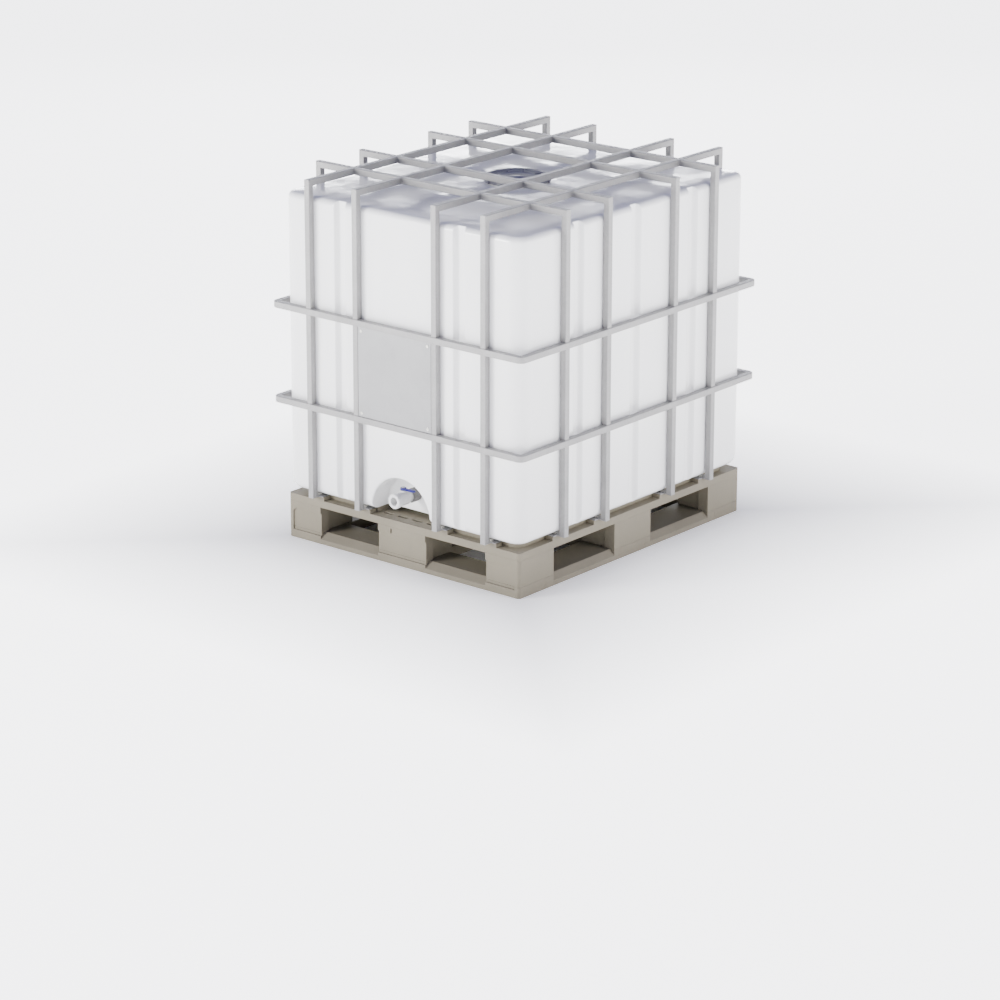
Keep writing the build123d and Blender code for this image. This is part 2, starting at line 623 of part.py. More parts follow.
def union_nut():
    middle = (NUT_FRONT + NUT_BACK) / 2
    length = NUT_BACK - NUT_FRONT
    nut = rod(NUT_RADIUS, NUT_FRONT, NUT_BACK)
    for number in range(NUT_RIBS):
        turn = Rot(0, 360.0 * number / NUT_RIBS, 0)
        rib = Box(NUT_RIB_SIZE[0], length, NUT_RIB_SIZE[1])
        nut += Pos(0, middle, VALVE_Z) * turn * Pos(NUT_RADIUS - NUT_RIB_ROOT, 0, 0) * rib
    nut -= rod(SPOUT_RADIUS + CLEAR, FLANGE_BACK - CLEAR, NUT_BACK + CUT)
    return nut - rod(PIPE_RADIUS + CLEAR, NUT_FRONT - CUT, NUT_BACK)


def make_stem_and_ball():
    slot_floor = VALVE_Z + BALL_RADIUS - TONGUE_DEEP
    axis = Pos(0, BALL_Y, 0)
    bore = Rot(0, 90, 0) * Cylinder(BALL_BORE, 3 * BALL_RADIUS)
    ball = Pos(0, BALL_Y, VALVE_Z) * (Sphere(BALL_RADIUS) - bore)
    ball -= axis * between((-BALL_RADIUS, -TONGUE / 2, slot_floor),
                           (BALL_RADIUS, TONGUE / 2, VALVE_Z + BALL_RADIUS))
    stem = upright(STEM_RADIUS, VALVE_Z + BALL_RADIUS + TONGUE_GAP, LEVER_LOW, 0, BALL_Y)
    stem += axis * between((-TONGUE_HALF, -TONGUE / 2 + SLIP, slot_floor + TONGUE_GAP),
                           (TONGUE_HALF, TONGUE / 2 - SLIP, VALVE_Z + BALL_RADIUS + CUT))
    stem += axis * between((-SQUARE / 2, -SQUARE / 2, LEVER_LOW),
                           (SQUARE / 2, SQUARE / 2, LEVER_HIGH - SCREW_SINK))
    stem -= upright(SCREW_SHANK + CLEAR, LEVER_LOW - SCREW_REACH - CUT, LEVER_HIGH, 0, BALL_Y)
    return ball, stem


def valve_lever():
    arm_length = LEVER_REACH + LEVER_WIDTH / 2
    arm = SlotOverall(arm_length, LEVER_WIDTH)
    thickness = LEVER_HIGH - LEVER_LOW - 2 * ARM_STEP
    lever = Pos(LEVER_REACH - arm_length / 2, BALL_Y, LEVER_LOW + ARM_STEP) * extrude(arm, thickness)
    lever += upright(HUB_RADIUS, LEVER_LOW, LEVER_HIGH, 0, BALL_Y)
    side = SQUARE / 2 + SLIP
    socket = between((-side, -side, LEVER_LOW - CUT), (side, side, LEVER_HIGH - SCREW_SINK))
    lever -= Pos(0, BALL_Y, 0) * socket
    return lever - upright(SCREW_HEAD + CLEAR, LEVER_HIGH - SCREW_SINK, LEVER_HIGH + CUT, 0, BALL_Y)


def make_valve():
    ball, stem = make_stem_and_ball()
    seal = upright(SEAL_RADIUS, STEM_BOSS_TOP - SEAL_DEPTH, STEM_BOSS_TOP - SEAL_SINK, 0, BALL_Y)
    seal -= upright(STEM_RADIUS + RUNNING, STEM_BOSS_TOP - SEAL_DEPTH - CUT, STEM_BOSS_TOP, 0, BALL_Y)
    screw = upright(SCREW_HEAD, LEVER_HIGH - SCREW_SINK, LEVER_HIGH - SCREW_RECESS, 0, BALL_Y)
    screw += upright(SCREW_SHANK, LEVER_LOW - SCREW_REACH, LEVER_HIGH - SCREW_SINK, 0, BALL_Y)
    gasket = rod(FLANGE_RADIUS - CLEAR, FLANGE_FACE, SPOUT_END)
    gasket -= rod(SPOUT_BORE + GASKET_SETBACK, FLANGE_FACE - CUT, SPOUT_END + CUT)
    seat_end = BALL_Y - SEAT_LENGTH
    insert = rod(CAVITY - CLEAR, seat_end, FLANGE_FACE)
    insert -= rod(INSERT_BORE, seat_end - CUT, FLANGE_FACE + CUT)
    return {"valve_body": valve_body(), "valve_union_nut": union_nut(), "valve_neck_gasket": gasket,
            "valve_seat_insert": insert, "valve_seat_outer": seat(CAVITY_END, BALL_Y - SEAT_OVERLAP),
            "valve_seat_inner": seat(BALL_Y + SEAT_OVERLAP, seat_end), "valve_ball": ball,
            "valve_stem": stem, "valve_stem_seal": seal, "valve_lever": valve_lever(),
            "valve_lever_screw": screw}


def main():
    os.makedirs("parts", exist_ok=True)
    nodes = {"pallet_deck": pallet_deck(), "pallet_corner_blocks": corner_blocks(),
             "pallet_edge_blocks": edge_blocks(), "pallet_centre_block": centre_block(),
             "pallet_cross_skids": cross_skids(), "pallet_long_skids": long_skids(), "bottle": make_bottle()}
    for group in (make_cage(), make_label(), make_lid(), make_valve()):
        nodes.update(group)
    for name, shape in nodes.items():
        save(name, shape)
    print(len(nodes), "nodes")


main()
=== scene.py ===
import json
import math

import bpy
import bmesh
import numpy as np
from mathutils import Matrix, Vector, noise


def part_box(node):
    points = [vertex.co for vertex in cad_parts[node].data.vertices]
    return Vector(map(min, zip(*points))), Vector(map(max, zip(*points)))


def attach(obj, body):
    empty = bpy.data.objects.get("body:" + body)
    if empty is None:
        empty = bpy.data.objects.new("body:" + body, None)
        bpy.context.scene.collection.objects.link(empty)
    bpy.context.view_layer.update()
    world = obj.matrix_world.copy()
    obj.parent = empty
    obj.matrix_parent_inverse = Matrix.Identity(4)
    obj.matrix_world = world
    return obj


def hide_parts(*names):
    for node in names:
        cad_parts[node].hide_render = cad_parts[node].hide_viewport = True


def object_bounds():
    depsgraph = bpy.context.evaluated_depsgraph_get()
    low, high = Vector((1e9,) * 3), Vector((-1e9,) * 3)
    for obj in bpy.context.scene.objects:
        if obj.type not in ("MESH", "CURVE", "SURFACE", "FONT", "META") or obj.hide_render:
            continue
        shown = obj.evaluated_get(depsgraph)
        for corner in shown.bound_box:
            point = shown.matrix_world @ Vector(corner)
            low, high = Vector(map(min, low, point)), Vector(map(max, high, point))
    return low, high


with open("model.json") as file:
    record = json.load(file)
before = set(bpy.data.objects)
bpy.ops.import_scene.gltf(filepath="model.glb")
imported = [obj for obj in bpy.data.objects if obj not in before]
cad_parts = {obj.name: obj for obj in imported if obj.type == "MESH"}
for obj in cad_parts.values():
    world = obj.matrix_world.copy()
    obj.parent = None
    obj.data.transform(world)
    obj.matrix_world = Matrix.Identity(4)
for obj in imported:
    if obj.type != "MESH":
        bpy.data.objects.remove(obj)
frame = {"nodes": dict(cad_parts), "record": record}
LOADED_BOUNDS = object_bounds()
MM = 0.001
NODES = frame["nodes"]


# ---- mesh helpers ---------------------------------------------------------------------------
def new_object(name, verts, faces, material, body="container", smooth=35.0, ride=True):
    """A mesh piece from points in metres, shaded smooth below an angle, riding on a CAD body."""
    mesh = bpy.data.meshes.new(name)
    mesh.from_pydata([tuple(v) for v in verts], [], [tuple(f) for f in faces])
    mesh.validate()
    obj = bpy.data.objects.new(name, mesh)
    bpy.context.scene.collection.objects.link(obj)
    shade(mesh, smooth)
    if material is not None:
        mesh.materials.clear()
        mesh.materials.append(material)
    if ride:
        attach(obj, body)
    return obj


def shade(mesh, angle):
    for polygon in mesh.polygons:
        polygon.use_smooth = True
    mesh.set_sharp_from_angle(angle=math.radians(angle))


def ring_faces(rows, count, close_rows=False):
    """Quads between successive closed rings of equal point count."""
    faces = []
    last = rows if close_rows else rows - 1
    for row in range(last):
        here = row * count
        there = ((row + 1) % rows) * count
        for i in range(count):
            j = (i + 1) % count
            faces.append((here + i, here + j, there + j, there + i))
    return faces


def lathe(profile, steps, centre, axis="Z"):
    """Points and faces of a closed profile of (radius, height) turned about the Z or Y axis."""
    verts = []
    for radius, height in profile:
        for i in range(steps):
            angle = 2 * math.pi * i / steps
            a = radius * math.cos(angle)
            b = radius * math.sin(angle)
            if axis == "Z":
                verts.append(Vector((a, b, height)) + centre)
            else:
                verts.append(Vector((a, height, b)) + centre)
    faces = ring_faces(len(profile), steps, close_rows=True)
    if axis == "Y":
        faces = [tuple(reversed(f)) for f in faces]
    return verts, faces


def join(parts):
    """One list of points and faces from several."""
    verts = []
    faces = []
    for part_verts, part_faces in parts:
        base = len(verts)
        verts.extend(part_verts)
        faces.extend([tuple(i + base for i in f) for f in part_faces])
    return verts, faces


def box_part(low, high, bevel=0.0):
    """A box with its vertical and horizontal edges cut back by a small chamfer."""
    lo = Vector(low)
    hi = Vector(high)
    mesh = bmesh.new()
    bmesh.ops.create_cube(mesh, size=1.0)
    for v in mesh.verts:
        v.co = Vector((lo[i] + (v.co[i] + 0.5) * (hi[i] - lo[i]) for i in range(3)))
    if bevel > 0:
        bmesh.ops.bevel(mesh, geom=mesh.edges[:], offset=bevel, segments=2, affect="EDGES", profile=0.5)
    mesh.verts.index_update()
    verts = [v.co.copy() for v in mesh.verts]
    faces = [tuple(v.index for v in f.verts) for f in mesh.faces]
    mesh.free()
    return verts, faces


def transformed(part, matrix):
    verts, faces = part
    return [matrix @ Vector(v) for v in verts], faces


def rounded(radius, corner_x, corner_z, start, end, steps=4):
    """Points of a small arc in a profile, for rounded edges."""
    out = []
    for i in range(steps + 1):
        angle = math.radians(start + (end - start) * i / steps)
        out.append((corner_x + radius * math.cos(angle), corner_z + radius * math.sin(angle)))
    return out


# ---- materials ------------------------------------------------------------------------------
def node_material(name):
    material = bpy.data.materials.new(name)
    material.use_nodes = True
    tree = material.node_tree
    tree.nodes.clear()
    out = tree.nodes.new("ShaderNodeOutputMaterial")
    shader = tree.nodes.new("ShaderNodeBsdfPrincipled")
    tree.links.new(shader.outputs["BSDF"], out.inputs["Surface"])
    place = tree.nodes.new("ShaderNodeTexCoord")
    return material, tree, shader, place


def add_noise(tree, place, scale, detail=4.0, rough=0.55, stretch=None):
    """A noise texture in object space, stretched if asked."""
    tex = tree.nodes.new("ShaderNodeTexNoise")
    tex.inputs["Scale"].default_value = scale
    tex.inputs["Detail"].default_value = detail
    tex.inputs["Roughness"].default_value = rough
    source = place.outputs["Object"]
    if stretch is not None:
        mapping = tree.nodes.new("ShaderNodeMapping")
        mapping.inputs["Scale"].default_value = stretch
        tree.links.new(source, mapping.inputs["Vector"])
        source = mapping.outputs["Vector"]
    tree.links.new(source, tex.inputs["Vector"])
    return tex.outputs["Fac"]


def remap(tree, value, low, high, from_low=0.3, from_high=0.7):
    node = tree.nodes.new("ShaderNodeMapRange")
    node.inputs["From Min"].default_value = from_low
    node.inputs["From Max"].default_value = from_high
    node.inputs["To Min"].default_value = low
    node.inputs["To Max"].default_value = high
    tree.links.new(value, node.inputs["Value"])
    return node.outputs["Result"]


def mix_colour(tree, factor, first, second):
    node = tree.nodes.new("ShaderNodeMix")
    node.data_type = "RGBA"
    tree.links.new(factor, node.inputs[0])
    for socket, value in ((node.inputs[6], first), (node.inputs[7], second)):
        if isinstance(value, tuple):
            socket.default_value = (*value, 1.0)
        else:
            tree.links.new(value, socket)
    return node.outputs[2]


def add_bump(tree, height, strength, distance, below=None):
    node = tree.nodes.new("ShaderNodeBump")
    node.inputs["Strength"].default_value = strength
    node.inputs["Distance"].default_value = distance
    tree.links.new(height, node.inputs["Height"])
    if below is not None:
        tree.links.new(below, node.inputs["Normal"])
    return node.outputs["Normal"]


def plastic(name, dark, light, rough, grain=900.0, patch=6.0, bump=0.06, glow=0.0, specular=0.5, coat=0.0):
    """Moulded plastic: broad patches of tone, a fine moulded grain and uneven gloss."""
    material, tree, shader, place = node_material(name)
    broad = add_noise(tree, place, patch, 5.0, 0.6)
    fine = add_noise(tree, place, grain, 2.0, 0.5)
    tone = mix_colour(tree, remap(tree, broad, 0.0, 1.0), dark, light)
    speck = mix_colour(tree, remap(tree, fine, 0.0, 0.25, 0.45, 0.75), tone, tuple(c * 0.8 for c in dark))
    tree.links.new(speck, shader.inputs["Base Color"])
    tree.links.new(remap(tree, broad, rough[0], rough[1]), shader.inputs["Roughness"])
    shader.inputs["Specular IOR Level"].default_value = specular
    shader.inputs["IOR"].default_value = 1.5
    if coat > 0:
        shader.inputs["Coat Weight"].default_value = coat
        shader.inputs["Coat Roughness"].default_value = 0.12
    if glow > 0:
        shader.inputs["Subsurface Weight"].default_value = glow
        shader.inputs["Subsurface Radius"].default_value = (0.010, 0.010, 0.011)
        shader.inputs["Subsurface Scale"].default_value = 1.0
    normal = add_bump(tree, fine, bump, 0.0004)
    tree.links.new(normal, shader.inputs["Normal"])
    return material


def bottle_plastic():
    """Natural polyethylene: milky, satin, with faint upright flow marks and slow waves in the wall."""
    material, tree, shader, place = node_material("bottle_polyethylene")
    flow = add_noise(tree, place, 5.0, 3.0, 0.5, (6.0, 6.0, 0.6))
    broad = add_noise(tree, place, 2.2, 4.0, 0.5)
    fine = add_noise(tree, place, 420.0, 2.0, 0.5)
    tone = mix_colour(tree, remap(tree, broad, 0.0, 1.0), BOTTLE_DARK, BOTTLE_LIGHT)
    tone = mix_colour(tree, remap(tree, flow, 0.0, 0.35), tone, BOTTLE_FLOW)
    tree.links.new(tone, shader.inputs["Base Color"])
    tree.links.new(remap(tree, flow, 0.07, 0.13), shader.inputs["Roughness"])
    shader.inputs["Specular IOR Level"].default_value = 0.5
    shader.inputs["IOR"].default_value = 1.54
    shader.inputs["Subsurface Weight"].default_value = 0.12
    shader.inputs["Subsurface Radius"].default_value = (0.008, 0.008, 0.009)
    shader.inputs["Subsurface Scale"].default_value = 1.0
    waves = add_noise(tree, place, 7.0, 2.0, 0.4)
    normal = add_bump(tree, waves, 0.35, 0.004)
    normal = add_bump(tree, fine, 0.04, 0.0004, normal)
    tree.links.new(normal, shader.inputs["Normal"])
    return material


def galvanised(name, dark, light, metallic, rough, spangle=140.0):
    """Zinc-coated steel: faint crystal spangle, soft broad patches of tone and uneven satin gloss."""
    material, tree, shader, place = node_material(name)
    cells = tree.nodes.new("ShaderNodeTexVoronoi")
    cells.inputs["Scale"].default_value = spangle
    tree.links.new(place.outputs["Object"], cells.inputs["Vector"])
    split = tree.nodes.new("ShaderNodeSeparateColor")
    tree.links.new(cells.outputs["Color"], split.inputs["Color"])
    broad = add_noise(tree, place, 9.0, 5.0, 0.6)
    fine = add_noise(tree, place, 600.0, 3.0, 0.6)
    tone = mix_colour(tree, remap(tree, broad, 0.0, 1.0), dark, light)
    crystal = remap(tree, split.outputs["Red"], 0.0, 0.3, 0.0, 1.0)
    tone = mix_colour(tree, crystal, tone, tuple(c * 0.86 for c in dark))
    tree.links.new(tone, shader.inputs["Base Color"])
    shader.inputs["Metallic"].default_value = metallic
    shader.inputs["Specular IOR Level"].default_value = 0.5
    shader.inputs["IOR"].default_value = 1.5
    gloss = remap(tree, split.outputs["Green"], rough[0], rough[1], 0.0, 1.0)
    tree.links.new(gloss, shader.inputs["Roughness"])
    normal = add_bump(tree, fine, 0.10, 0.0003)
    tree.links.new(normal, shader.inputs["Normal"])
    return material


BOTTLE_DARK = (0.85, 0.85, 0.845)
BOTTLE_LIGHT = (0.90, 0.90, 0.895)
BOTTLE_FLOW = (0.83, 0.83, 0.83)
MATERIALS = {
    "bottle_plastic": bottle_plastic(),
    "tube_steel": galvanised("galvanised_tube", (0.250, 0.246, 0.242), (0.303, 0.298, 0.293), 0.20,
                             (0.38, 0.52)),
    "plate_sheet": galvanised("plate_paint", (0.285, 0.285, 0.285), (0.312, 0.312, 0.312), 0.1,
                              (0.42, 0.52), 30.0),
    "zinc_fastener": galvanised("zinc_plate", (0.50, 0.49, 0.45), (0.60, 0.59, 0.55), 0.8, (0.25, 0.4),
                                300.0),
    "pallet_plastic": plastic("pallet_polyethylene", (0.168, 0.149, 0.108), (0.206, 0.184, 0.136),
                              (0.5, 0.68), specular=0.3),
    "lid_plastic": plastic("lid_polyethylene", (0.125, 0.124, 0.145), (0.160, 0.158, 0.185), (0.26, 0.36),
                           coat=0.2),
    "black_rubber": plastic("black_rubber", (0.015, 0.015, 0.015), (0.03, 0.03, 0.03), (0.6, 0.8)),
    "valve_plastic": plastic("valve_polypropylene", (0.60, 0.60, 0.59), (0.68, 0.68, 0.67), (0.28, 0.40),
                             glow=0.1),
    # the union nut's dark grey is painted shade: it stands in for the shadow that falls on the rear of the
    # valve in its recess
    "nut_plastic": plastic("nut_polypropylene_painted_shade", (0.11, 0.105, 0.10), (0.15, 0.145, 0.14), (0.40, 0.52)),
    "seat_plastic": plastic("seat_fluoropolymer", (0.75, 0.75, 0.73), (0.82, 0.82, 0.80), (0.3, 0.4)),
    "lever_plastic": plastic("lever_polypropylene", (0.010, 0.008, 0.135), (0.015, 0.012, 0.200),
                             (0.25, 0.38), coat=0.2),
}


def dress_cad_nodes():
    """Give every CAD node its material, and soften the moulded and cut edges of the plain ones."""
    for entry in frame["record"]["subparts"]:
        obj = NODES[entry["node"]]
        obj.data.materials.clear()
        obj.data.materials.append(MATERIALS[entry["material_slot"]])
    for name, obj in NODES.items():
        width = 1.2 if name.startswith("pallet") else 0.4
        if not name.startswith(("pallet", "foot_plates", "label", "valve")):
            continue
        weld = obj.modifiers.new("weld", "WELD")
        weld.merge_threshold = 0.00001
        flat = obj.modifiers.new("flat", "DECIMATE")
        flat.decimate_type = "DISSOLVE"
        flat.angle_limit = math.radians(1.0)
        edge = obj.modifiers.new("edge", "BEVEL")
        edge.width = width * MM
        edge.segments = 2
        edge.limit_method = "ANGLE"
        edge.angle_limit = math.radians(40)
        edge.harden_normals = True


# ---- bottle ---------------------------------------------------------------------------------
BOTTLE_LOW, BOTTLE_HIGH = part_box("bottle")
HALF_X = BOTTLE_HIGH.x
HALF_Y = BOTTLE_HIGH.y
BASE_Z = BOTTLE_LOW.z
NECK_TOP = BOTTLE_HIGH.z
SHOULDER_Z = NECK_TOP - 10 * MM
CORNER = 55 * MM
TOP_EDGE = 20 * MM
BASE_EDGE = 34 * MM
FLUTE_MOUTH = 23 * MM
FLUTE_FLOOR = 15 * MM
FLUTE_DEEP = 18 * MM
FLUTE_SOFT = 3.5 * MM
FLUTES_X = (-243 * MM, 243 * MM)
FLUTES_Y = (-293 * MM, -8 * MM, 285 * MM)
NECK_OUT = 98 * MM
NECK_IN = 93 * MM
RECESS_R = 120 * MM
RECESS_BACK = -492 * MM
RECESS_CENTRE = 172 * MM


def flute_depth(distance):
    """How deep a flute is at a distance from its middle, with its edges rounded by averaging."""
    total = 0.0
    steps = (-1.0, -0.6, -0.2, 0.2, 0.6, 1.0)
    for first in steps:
        for second in steps:
            at = abs(distance + (first + second) * FLUTE_SOFT / 2)
            slope = (FLUTE_MOUTH - at) / (FLUTE_MOUTH - FLUTE_FLOOR)
            total += FLUTE_DEEP * min(1.0, max(0.0, slope))
    return total / len(steps) ** 2


def side_samples(half, flutes):
    """Places along a straight side, close together at the flutes."""
    end = half - CORNER
    places = set(np.linspace(-end, end, 25).round(5))
    for centre in flutes:
        places = {p for p in places if abs(p - centre) > 32 * MM}
        places |= set((centre + np.linspace(-30, 30, 41) * MM).round(5))
    return sorted(places)


def ordered_outline():
    """The outline in one turn, anticlockwise from the middle of the front, with rounded corners."""
    front = [((x, -HALF_Y), (0.0, 1.0), max(flute_depth(x - f) for f in FLUTES_X))
             for x in side_samples(HALF_X, FLUTES_X)]
    right = [((HALF_X, y), (-1.0, 0.0), max(flute_depth(y - f) for f in FLUTES_Y))
             for y in side_samples(HALF_Y, FLUTES_Y)]
    rear = [((x, HALF_Y), (0.0, -1.0), max(flute_depth(x - f) for f in FLUTES_X))
            for x in reversed(side_samples(HALF_X, FLUTES_X))]
    left = [((-HALF_X, y), (1.0, 0.0), max(flute_depth(y - f) for f in FLUTES_Y))
            for y in reversed(side_samples(HALF_Y, FLUTES_Y))]
    ring = []
    corners = ((HALF_X - CORNER, -HALF_Y + CORNER, -90), (HALF_X - CORNER, HALF_Y - CORNER, 0),
               (-HALF_X + CORNER, HALF_Y - CORNER, 90), (-HALF_X + CORNER, -HALF_Y + CORNER, 180))
    for side, (cx, cy, start) in zip((front, right, rear, left), corners):
        ring.extend(side)
        for step in range(1, 16):
            angle = math.radians(start + 90 * step / 16)
            out = (math.cos(angle), math.sin(angle))
            ring.append(((cx + CORNER * out[0], cy + CORNER * out[1]), (-out[0], -out[1]), 0.0))
    return ring


def bottle_rings(outline):
    """Closed rings from the base to the neck's lip."""
    levels = []
    for step in range(9):
        angle = math.radians(90 * step / 8)
        levels.append((BASE_EDGE * (1 - math.sin(angle)), BASE_Z + BASE_EDGE * (1 - math.cos(angle))))
    for z in np.linspace(BASE_Z + BASE_EDGE, SHOULDER_Z - TOP_EDGE, 16)[1:-1]:
        levels.append((0.0, z))
    for step in range(9):
        angle = math.radians(90 * step / 8)
        levels.append((TOP_EDGE * (1 - math.cos(angle)), SHOULDER_Z - TOP_EDGE * (1 - math.sin(angle))))
    rings = []
    for inset, z in levels:
        ring = []
        for (px, py), (nx, ny), deep in outline:
            push = (inset ** 6 + deep ** 6) ** (1 / 6)
            ring.append(Vector((px + nx * push, py + ny * push, z)))
        rings.append(ring)
    rim = rings[-1]
    foot = NECK_OUT + 3 * MM
    for step in range(1, 15):
        mix = step / 14
        ring = []
        for point in rim:
            angle = math.atan2(point.y, point.x)
            target = Vector((foot * math.cos(angle), foot * math.sin(angle), SHOULDER_Z))
            spot = point.lerp(target, mix)
            wave = noise.noise(Vector((spot.x * 5.0, spot.y * 5.0, 3.0))) * 1.6 * MM
            spot.z += wave * math.sin(math.pi * mix)
            ring.append(spot)
        rings.append(ring)
    for radius, z in ((NECK_OUT + 0.8 * MM, SHOULDER_Z + 0.5 * MM), (NECK_OUT, SHOULDER_Z + 2 * MM),
                      (NECK_OUT, NECK_TOP - 0.8 * MM), (NECK_OUT - 0.8 * MM, NECK_TOP)):
        ring = []
        for point in rim:
            angle = math.atan2(point.y, point.x)
            ring.append(Vector((radius * math.cos(angle), radius * math.sin(angle), z)))
        rings.append(ring)
    return rings


def recess_cutter():
    """The arched room for the valve, flared where it meets the face and rounded at its back."""
    flare = 7 * MM
    back = 9 * MM
    stations = [(-HALF_Y - 30 * MM, flare), (-HALF_Y - 0.5 * MM, flare)]
    for step in range(1, 8):
        angle = math.radians(90 * step / 7)
        flat = 1 - math.sin(angle)
        stations.append((-HALF_Y + flare * (1 - flat), flare * (1 - math.sqrt(1 - flat ** 2))))
    for step in range(7):
        angle = math.radians(90 * step / 6)
        stations.append((RECESS_BACK - back * (1 - math.sin(angle)), -back * (1 - math.cos(angle))))
    verts = []
    count = 0
    for y, grow in stations:
        radius = RECESS_R + grow
        ring = [Vector((radius, y, BASE_Z - 60 * MM))]
        for step in range(49):
            angle = math.pi * step / 48
            ring.append(Vector((radius * math.cos(angle), y, RECESS_CENTRE + radius * math.sin(angle))))
        ring.append(Vector((-radius, y, BASE_Z - 60 * MM)))
        count = len(ring)
        verts.extend(ring)
    faces = ring_faces(len(stations), count)
    faces.append(tuple(reversed(range(count))))
    faces.append(tuple(range((len(stations) - 1) * count, len(stations) * count)))
    return verts, faces


def fix_normals(mesh):
    work = bmesh.new()
    work.from_mesh(mesh)
    bmesh.ops.recalc_face_normals(work, faces=work.faces[:])
    work.to_mesh(mesh)
    work.free()


def make_bottle():
    outline = ordered_outline()
    rings = bottle_rings(outline)
    count = len(outline)
    verts = [point for ring in rings for point in ring]
    faces = ring_faces(len(rings), count)
    faces.append(tuple(reversed(range(count))))
    faces.append(tuple(range((len(rings) - 1) * count, len(rings) * count)))
    shell = new_object("bottle_shell", verts, faces, MATERIALS["bottle_plastic"], ride=False)
    fix_normals(shell.data)
    cutter = new_object("recess_cutter", *recess_cutter(), None, ride=False)
    fix_normals(cutter.data)
    cut = shell.modifiers.new("cut", "BOOLEAN")
    cut.operation = "DIFFERENCE"
    cut.solver = "EXACT"
    cut.object = cutter
    bpy.context.view_layer.update()
    graph = bpy.context.evaluated_depsgraph_get()
    mesh = bpy.data.meshes.new_from_object(shell.evaluated_get(graph))
    shell.modifiers.clear()
    shell.data = mesh
    bpy.data.objects.remove(cutter)
    work = bmesh.new()
    work.from_mesh(mesh)
    caps = [f for f in work.faces if f.calc_center_median().z > NECK_TOP - 0.05 * MM and len(f.verts) > 8]
    bmesh.ops.delete(work, geom=caps, context="FACES_ONLY")
    work.to_mesh(mesh)
    work.free()
    mesh.materials.clear()
    mesh.materials.append(MATERIALS["bottle_plastic"])
    for polygon in mesh.polygons:
        polygon.material_index = 0
    shade(mesh, 32.0)
    wall = shell.modifiers.new("wall", "SOLIDIFY")
    wall.thickness = 2.5 * MM
    wall.offset = -1.0
    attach(shell, "container")
    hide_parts("bottle")
    return shell


# ---- lid ------------------------------------------------------------------------------------
LID_LOW, LID_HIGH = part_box("fill_lid")
SKIRT = 103.8 * MM
DISH = 3 * MM
RAISED_RINGS = ((62, 0.0), (60, 0.8), (56, 0.8), (54, 0.0), (24, 0.0), (22, 1.0), (1, 1.0))
LUGS = 8
GRIP_TEETH = 96


def make_lid():
    """The screw lid: rounded rim, sunk top with ribs, a hollow skirt and eight grip lugs."""
    top = LID_HIGH.z
    low = LID_LOW.z
    inner = NECK_OUT + 0.4 * MM
    profile = [(inner, low + 0.3 * MM), (inner + 0.3 * MM, low)]
    profile += [(SKIRT - 0.8 * MM, low), (SKIRT, low + 0.8 * MM), (SKIRT, top - 3.2 * MM)]
    profile += rounded(3 * MM, SKIRT - 3 * MM, top - 3 * MM, 0, 90, 5)
    profile += rounded(1.2 * MM, 90 * MM, top - 1.2 * MM, 90, 180, 3)
    profile += rounded(1.2 * MM, 87.6 * MM, top - 1.8 * MM, 0, -90, 3)
    for radius, rise in RAISED_RINGS:
        profile.append((radius * MM, top - DISH + rise * MM))
    profile += [(1 * MM, top - 6 * MM), (90 * MM, top - 6 * MM), (inner, top - 6.3 * MM)]
    parts = [lathe(profile, 128, Vector((0, 0, 0)))]
    for number in range(LUGS):
        turn = Matrix.Rotation(math.radians(360 * (number + 0.5) / LUGS), 4, "Z")
        lug = box_part((98 * MM, -8.8 * MM, low + 0.1 * MM), (109.8 * MM, 8.8 * MM, top - 4.2 * MM), 1.6 * MM)
        parts.append(transformed(lug, turn))
        rib = box_part((64 * MM, -1.2 * MM, top - 3.4 * MM), (87 * MM, 1.2 * MM, top - 1.4 * MM), 0.5 * MM)
        parts.append(transformed(rib, turn))
    for number in range(GRIP_TEETH):
        turn = Matrix.Rotation(math.radians(360 * (number + 0.5) / GRIP_TEETH), 4, "Z")
        tooth_low = (SKIRT - 1 * MM, -1.0 * MM, low + 1.0 * MM)
        tooth = box_part(tooth_low, (SKIRT + 0.9 * MM, 1.0 * MM, top - 4 * MM), 0.4 * MM)
        parts.append(transformed(tooth, turn))
    lid = new_object("fill_lid_moulding", *join(parts), MATERIALS["lid_plastic"], "screw_lid", 40.0)
    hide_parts("fill_lid")


# ---- cage welds -----------------------------------------------------------------------------
HALF_TUBE = 10.5 * MM


def bead(length, width, height):
    """A weld bead: a rippled half-round ridge along X."""
    verts = []
    count = 10
    rows = 13
    for row in range(rows):
        t = row / (rows - 1)
        size = math.sqrt(max(0.0, 1 - (2 * t - 1) ** 4)) * (1 + 0.10 * math.sin(row * 2.4)) + 0.02
        for i in range(count):
            angle = 2 * math.pi * i / count
            verts.append(Vector(((t - 0.5) * length, width / 2 * size * math.cos(angle),
                                 height * size * math.sin(angle))))
    faces = ring_faces(rows, count)
    faces.append(tuple(reversed(range(count))))
    faces.append(tuple(range((rows - 1) * count, rows * count)))
    return verts, faces


